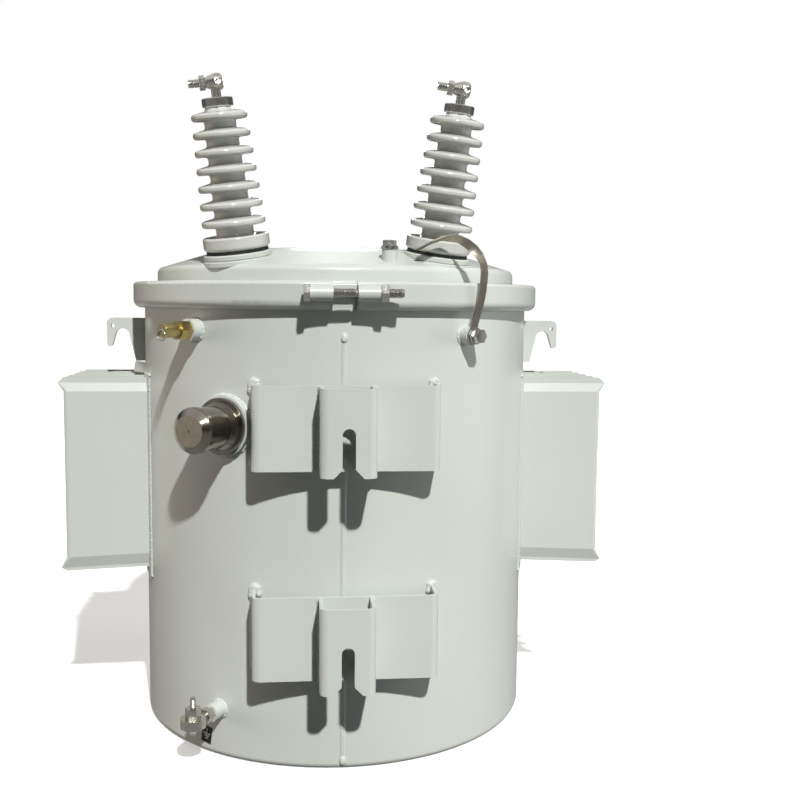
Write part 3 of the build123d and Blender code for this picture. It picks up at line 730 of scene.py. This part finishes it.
def strap_bolt_stack():
    """The washers and the bolt's head, one on another along Z."""
    made = []
    start = 0.0
    for radius, thick in STRAP_WASHERS:
        made.append(bevelled_cylinder(WASHER_SIDES, radius, thick, thick * WASHER_BEVEL, start))
        start += thick
    head = hexagon(STRAP_HEAD_ACROSS, STRAP_HEAD_H)
    settle(head, Matrix.Translation((0, 0, start)))
    return join(head, *made)


def far_end(node, way):
    """The middle of a solid's outermost face in one direction."""
    places = [vert.co.copy() for vert in NODES[node].data.vertices]
    reach = max(place.dot(way) for place in places)
    last = [place for place in places if place.dot(way) > reach - END_FACE]
    return sum(last, Vector()) / len(last)


class TRANSFORMER_OT_band_bolt(bpy.types.Operator):
    """Thread the band bolt, and shape its head and nut"""

    bl_idname = "transformer.band_bolt"
    bl_label = "Thread the band bolt"

    def execute(self, context):
        sizes = context.scene.transformer_thread

        def place(piece, x, name):
            settle(piece, frame_at(Vector((ROD_MID_X + x, ROD_Y, ROD_Z)), UPWARD, ACROSS))
            finish_piece(piece, name, "zinc_plate", METAL_ANGLE)

        nut_end = LUG_FAR + NUT_H - NUT_LAP
        for name, start, end in (("gap", -LUG_NEAR, LUG_NEAR), ("end", nut_end, ROD_END)):
            bar = threaded_bar(ROD_R, sizes.rod_pitch, end - start, sizes.sides)
            place(bar, start, "band_bolt_thread_" + name)
        head = hexagon(BOLT_ACROSS, BOLT_HEAD)
        place(head, -LUG_FAR - BOLT_HEAD, "band_bolt_head")
        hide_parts("band_bolt")
        nut = hexagon(BOLT_ACROSS, NUT_H)
        place(nut, LUG_FAR, "band_bolt_nut")
        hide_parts("band_nut")
        return {"FINISHED"}


class TRANSFORMER_OT_strap_bolt(bpy.types.Operator):
    """Stack the washers and the head of the ground strap's bolt"""

    bl_idname = "transformer.strap_bolt"
    bl_label = "Stack the strap's bolt"

    def execute(self, context):
        stack = strap_bolt_stack()
        out = polar(STRAP_TURN, 1.0)
        settle(stack, frame_at(polar(STRAP_TURN, TANK_R + STRAP_FACE, STRAP_Z), UPWARD, out))
        finish_piece(stack, "strap_bolt_stack", "zinc_plate", METAL_ANGLE)
        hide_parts("strap_bolt")
        return {"FINISHED"}


class TRANSFORMER_OT_studs(bpy.types.Operator):
    """Cut the threads on the terminal studs and the ground stud"""

    bl_idname = "transformer.studs"
    bl_label = "Thread the studs"

    def execute(self, context):
        sizes = context.scene.transformer_thread
        for name, side in (("left", -1), ("right", 1)):
            way = Vector((-1, 0, side * HV_LEAN)).normalized()
            end = far_end("hv_terminal_" + name, way)
            piece = thread(STUD_R, sizes.stud_pitch, STUD_LEN, sizes.sides)
            settle(piece, frame_at(end - way * STUD_LEN, UPWARD, way))
            finish_piece(piece, "terminal_thread_" + name, "tin_plate", METAL_ANGLE)
        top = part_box("ground_nut")[1].z
        piece = thread(GROUND_STUD_R, sizes.stud_pitch * FINE, GROUND_STUD_LEN, sizes.sides)
        foot = polar(GROUND_TURN, TANK_R + GROUND_AT, top - GROUND_STUD_DROP)
        settle(piece, Matrix.Translation(foot))
        finish_piece(piece, "ground_stud_thread", "tin_plate", METAL_ANGLE)
        return {"FINISHED"}


# Earth label

class LabelSettings(bpy.types.PropertyGroup):
    width: FloatProperty(name="Width", description="Width of the earth label", default=0.019, unit="LENGTH")
    height: FloatProperty(
        name="Height", description="Height of the earth label", default=0.0255, unit="LENGTH")
    tilt: FloatProperty(
        name="Tilt", description="Turn of the label on the wall", default=math.radians(-8.0),
        subtype="ANGLE")


# The earth symbol's lines as shares of half the label's width or height
STROKE, STEM_FOOT, STEM_TOP, BAR_STEP = 0.09, 0.1, 0.72, 0.26
BAR_HALVES = (0.62, 0.42, 0.22)
LABEL_CUTS = 6


def wall_patch(label, x0, x1, y0, y1, stand, thick):
    """A thin patch that follows the tank wall: a plane cut across, thickened and wrapped."""
    deselect()
    bpy.ops.mesh.primitive_plane_add(size=1.0)
    bpy.ops.object.mode_set(mode="EDIT")
    bpy.ops.mesh.select_all(action="SELECT")
    bpy.ops.mesh.subdivide(number_cuts=LABEL_CUTS)
    bpy.ops.mesh.extrude_region_move(TRANSFORM_OT_translate={"value": (0, 0, 1)})
    bpy.ops.mesh.select_all(action="SELECT")
    bpy.ops.mesh.normals_make_consistent(inside=False)
    bpy.ops.object.mode_set(mode="OBJECT")
    piece = bpy.context.object
    c, s = math.cos(label.tilt), math.sin(label.tilt)
    for vert in piece.data.vertices:
        x = x0 + (vert.co.x + 0.5) * (x1 - x0)
        y = y0 + (vert.co.y + 0.5) * (y1 - y0)
        out = stand + vert.co.z * thick
        vert.co = wall_point(LABEL_TURN, c * x - s * y, LABEL_Z + s * x + c * y, out)
    return piece


class TRANSFORMER_OT_earth_label(bpy.types.Operator):
    """Stick the small earth symbol under the ground connector"""

    bl_idname = "transformer.earth_label"
    bl_label = "Add the earth label"

    def execute(self, context):
        label = context.scene.transformer_label
        w, h = label.width / 2, label.height / 2
        plate = wall_patch(label, -w, w, -h, h, 0.0, LABEL_T)
        finish_piece(plate, "earth_label", "label_black")
        stroke = h * STROKE
        lines = [(-stroke / 2, stroke / 2, h * STEM_FOOT, h * STEM_TOP)]
        for k, half in enumerate(BAR_HALVES):
            y = h * (STEM_FOOT - BAR_STEP * k)
            lines.append((-w * half, w * half, y - stroke, y + stroke / 2))
        symbol = join(*[wall_patch(label, *line, LABEL_T, INK_T) for line in lines])
        finish_piece(symbol, "earth_symbol", "label_white")
        return {"FINISHED"}


# Stage

class StageSettings(bpy.types.PropertyGroup):
    eye: FloatVectorProperty(
        name="Camera", description="Place of the camera", subtype="TRANSLATION", unit="LENGTH",
        default=(-0.07106, -1.66768, 0.64716))
    yaw: FloatProperty(
        name="Yaw", description="Camera's turn to the right", subtype="ANGLE", default=0.1053)
    pitch: FloatProperty(name="Pitch", description="Camera's tilt down", subtype="ANGLE", default=0.094)
    roll: FloatProperty(name="Roll", description="Camera's lean", subtype="ANGLE", default=0.0096)
    lens: FloatProperty(name="Lens", description="Focal length on a 36 mm sensor", default=45.72)
    sun: FloatProperty(name="Key light", description="Strength of the key light", default=4.2)
    right_fill: FloatProperty(name="Right fill", description="Power of the right fill", default=38.0)
    left_fill: FloatProperty(name="Left fill", description="Power of the warm left fill", default=33.0)
    low_fill: FloatProperty(name="Low fill", description="Power of the low fill in front", default=2.5)
    lamp: FloatProperty(name="Lamp", description="Power of the lamp for glints", default=60.0)
    back_window: FloatProperty(name="Back window", description="Power of the window behind", default=7.0)
    rear_fill: FloatProperty(name="Rear fill", description="Power of the fill behind", default=22.0)
    ambient: FloatProperty(name="Ambient", description="Strength of the surrounding light", default=0.04)
    room: FloatProperty(
        name="Room", description="Brightness of the room that shiny parts mirror", default=1.0)


SENSOR = 36.0
AIM = Vector((0, 0, 0.4))
KEY_FAR = 3.0
KEY_WAY, KEY_COLOUR, KEY_ANGLE = Vector((0.17, -0.88, 0.88)), (1.0, 0.99, 0.97), math.radians(2.0)
NEUTRAL, WARM = (1, 1, 1), (1.0, 0.84, 0.70)
# Name, place, width and colour of each area light
AREA_LIGHTS = (
    ("right_fill", (3.0, 0.0, 0.65), 1.6, NEUTRAL),
    ("left_fill", (-3.0, 0.25, 0.65), 1.4, WARM),
    ("low_fill", (0.8, -2.0, 0.2), 0.8, NEUTRAL),
    ("lamp", (0.1, -2.6, 2.2), 0.5, NEUTRAL),
    ("back_window", (0.1, 2.8, 1.85), 0.5, NEUTRAL),
    ("rear_fill", (1.3, 2.6, 0.8), 1.8, NEUTRAL),
)
MIRRORED = ("lamp", "back_window")
WHITE, AMBIENT_COLOUR = (1, 1, 1, 1), (1.0, 0.985, 0.95, 1)
# The mirrored room from straight down to straight up: floor, dark horizon, ceiling
ROOM_STOPS = ((0.0, 0.36), (0.46, 0.22), (0.5, 0.08), (0.65, 0.09), (0.76, 0.55), (0.86, 0.9), (1.0, 0.5))
WALL_START, WALL_FULL, WALL_TONE = 0.80, 0.97, 0.42
FLOOR_SIZE, FLOOR_GLOW = 30.0, 0.4
FLOOR_TONES = (0.86, 0.86, 0.85), (0.9, 0.9, 0.89)


def set_camera(stage):
    cy, sy = math.cos(stage.yaw), math.sin(stage.yaw)
    cp, sp = math.cos(stage.pitch), math.sin(stage.pitch)
    ahead = Vector((sy * cp, cy * cp, -sp))
    right = Vector((cy, -sy, 0))
    up = right.cross(ahead)
    cr, sr = math.cos(stage.roll), math.sin(stage.roll)
    x, y = right * cr + up * sr, up * cr - right * sr
    data = bpy.data.cameras.new("photo_camera")
    data.sensor_width = SENSOR
    data.lens = stage.lens
    camera = bpy.data.objects.new("photo_camera", data)
    bpy.context.scene.collection.objects.link(camera)
    camera.matrix_world = Matrix.Translation(stage.eye) @ Matrix((x, y, -ahead)).transposed().to_4x4()
    bpy.context.scene.camera = camera


def add_light(name, kind, place, energy, colour):
    """A light that looks at the tank's middle."""
    data = bpy.data.lights.new(name, kind)
    data.energy = energy
    data.color = colour
    light = bpy.data.objects.new(name, data)
    bpy.context.scene.collection.objects.link(light)
    light.location = place
    light.rotation_euler = (AIM - Vector(place)).to_track_quat("-Z", "Y").to_euler()
    light.visible_glossy = name in MIRRORED
    return light


def set_lights(stage):
    """A soft key from the upper front, fills on every side, and a lamp that only shiny parts mirror."""
    key = add_light("key", "SUN", KEY_WAY * KEY_FAR + AIM, stage.sun, KEY_COLOUR)
    key.data.angle = KEY_ANGLE
    for name, place, width, colour in AREA_LIGHTS:
        light = add_light(name, "AREA", place, getattr(stage, name), colour)
        light.data.shape = "DISK"
        light.data.size = width
        light.visible_diffuse = name != "lamp"


def set_world(stage):
    """Plain soft light. What shines mirrors a pale ceiling, floor and side walls. Behind, all is white."""
    world = bpy.data.worlds.new("studio")
    world.use_nodes = True
    g = Nodes(world.node_tree, "World Output")
    g.tree.nodes.remove(g.tree.nodes["Background"])

    def background(colour, strength):
        return g.node("ShaderNodeBackground", None, {"Color": colour, "Strength": strength})

    def either(ray, first, second):
        path = g.node("ShaderNodeLightPath", output=ray)
        return g.node("ShaderNodeMixShader", None, {0: path, 1: first, 2: second})

    way = g.node("ShaderNodeTexCoord", output="Generated")
    height = g.node("ShaderNodeMapRange", None, {"Value": g.parts(way, 2), "From Min": -1.0})
    room = g.node("ShaderNodeValToRGB", {"stops": ROOM_STOPS}, {0: height})
    aside = g.node("ShaderNodeMath", {"operation": "ABSOLUTE"}, {0: g.parts(way, 0)})
    walls = g.node("ShaderNodeMapRange", None, {
        "Value": aside, "From Min": WALL_START, "From Max": WALL_FULL, "To Max": WALL_TONE})
    mirrored = background(g.mix(1.0, room, walls, "LIGHTEN"), stage.room)
    soft = either("Is Glossy Ray", background(AMBIENT_COLOUR, stage.ambient), mirrored)
    g.feed(Surface=either("Is Camera Ray", soft, background(WHITE, 1.0)))
    bpy.context.scene.world = world


def pale_floor():
    g = Graph("pale_floor", Emission_Color=WHITE, Emission_Strength=FLOOR_GLOW, Specular_IOR_Level=0.1)
    grain = g.noise(40.0, detail=4.0)
    return g.surface(Base_Color=mottled(g, grain, FLOOR_TONES), Roughness=0.8 + grain * 0.1)


class TRANSFORMER_OT_stage(bpy.types.Operator):
    """Set up the pale floor, the studio light and the camera"""

    bl_idname = "transformer.stage"
    bl_label = "Set up the studio"

    def execute(self, context):
        stage = context.scene.transformer_stage
        deselect()
        bpy.ops.mesh.primitive_plane_add(size=FLOOR_SIZE)
        floor = context.object
        floor.name = "studio_floor"
        floor.data.materials.append(pale_floor())
        floor.visible_diffuse = False
        floor.visible_glossy = False
        set_camera(stage)
        set_world(stage)
        set_lights(stage)
        context.scene.view_settings.view_transform = "Standard"
        return {"FINISHED"}


class TRANSFORMER_PT_sidebar(bpy.types.Panel):
    """Lists the settings and the steps that dress the transformer"""

    bl_idname = "TRANSFORMER_PT_sidebar"
    bl_label = "Transformer"
    bl_space_type = "VIEW_3D"
    bl_region_type = "UI"
    bl_category = "Transformer"

    def draw(self, context):
        for name in GROUPS:
            settings = getattr(context.scene, name)
            for key in settings.__annotations__:
                self.layout.prop(settings, key)
        for step in STEPS:
            self.layout.operator(step.bl_idname)


STEPS = (TRANSFORMER_OT_stage, TRANSFORMER_OT_finishes, TRANSFORMER_OT_welds, TRANSFORMER_OT_band_bolt,
         TRANSFORMER_OT_strap_bolt, TRANSFORMER_OT_studs, TRANSFORMER_OT_earth_label)
GROUPS = {
    "transformer_finish": FinishSettings,
    "transformer_weld": WeldSettings,
    "transformer_thread": ThreadSettings,
    "transformer_label": LabelSettings,
    "transformer_stage": StageSettings,
}


def register():
    for one in (*GROUPS.values(), *STEPS, TRANSFORMER_PT_sidebar):
        bpy.utils.register_class(one)
    for name, group in GROUPS.items():
        setattr(bpy.types.Scene, name, PointerProperty(type=group))


def unregister():
    for name in GROUPS:
        delattr(bpy.types.Scene, name)
    for one in (TRANSFORMER_PT_sidebar, *reversed(STEPS), *GROUPS.values()):
        bpy.utils.unregister_class(one)


def main():
    register()
    bpy.ops.transformer.stage()
    bpy.ops.transformer.finishes()
    bpy.ops.transformer.welds()
    bpy.ops.transformer.band_bolt()
    bpy.ops.transformer.strap_bolt()
    bpy.ops.transformer.studs()
    bpy.ops.transformer.earth_label()


if __name__ == "__main__":
    main()
